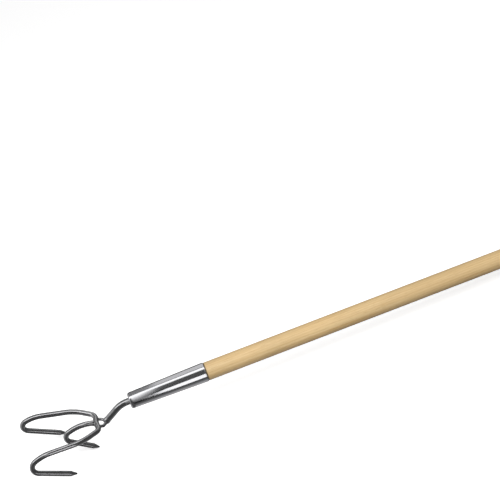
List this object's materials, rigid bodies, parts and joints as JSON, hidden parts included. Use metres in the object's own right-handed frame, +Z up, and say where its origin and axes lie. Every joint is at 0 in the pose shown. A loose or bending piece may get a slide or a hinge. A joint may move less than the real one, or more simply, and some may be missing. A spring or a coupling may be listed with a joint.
{
  "type": "garden cultivator",
  "caption": "Long-handled garden cultivator with hooked round steel tines, a swan-neck stem, a tapered steel ferrule and a turned ash handle.",
  "frame": {"origin": "bottom centre of the bounding box, on the ground that the tool lies on", "axes": "+X along the ground towards the butt of the handle, the head is at -X, +Z up; the XZ plane is the plane of symmetry. The handle's axis slopes down towards the butt by 1.98 degrees"},
  "size_m": [1.5242, 0.1082, 0.0728],
  "materials": {
    "ash": "clear-varnished turned ash",
    "ferrule_steel": "mirror-polished stainless steel",
    "bar_steel": "polished stainless steel bar",
    "screw_steel": "bright plain steel"
  },
  "bodies": {
    "root": {"handle": "ash", "ferrule": "ferrule_steel", "stem": "bar_steel", "crown": "bar_steel", "left_tine": "bar_steel", "centre_tine": "bar_steel", "right_tine": "bar_steel", "ferrule_screw": "screw_steel"}
  },
  "joints": []
}
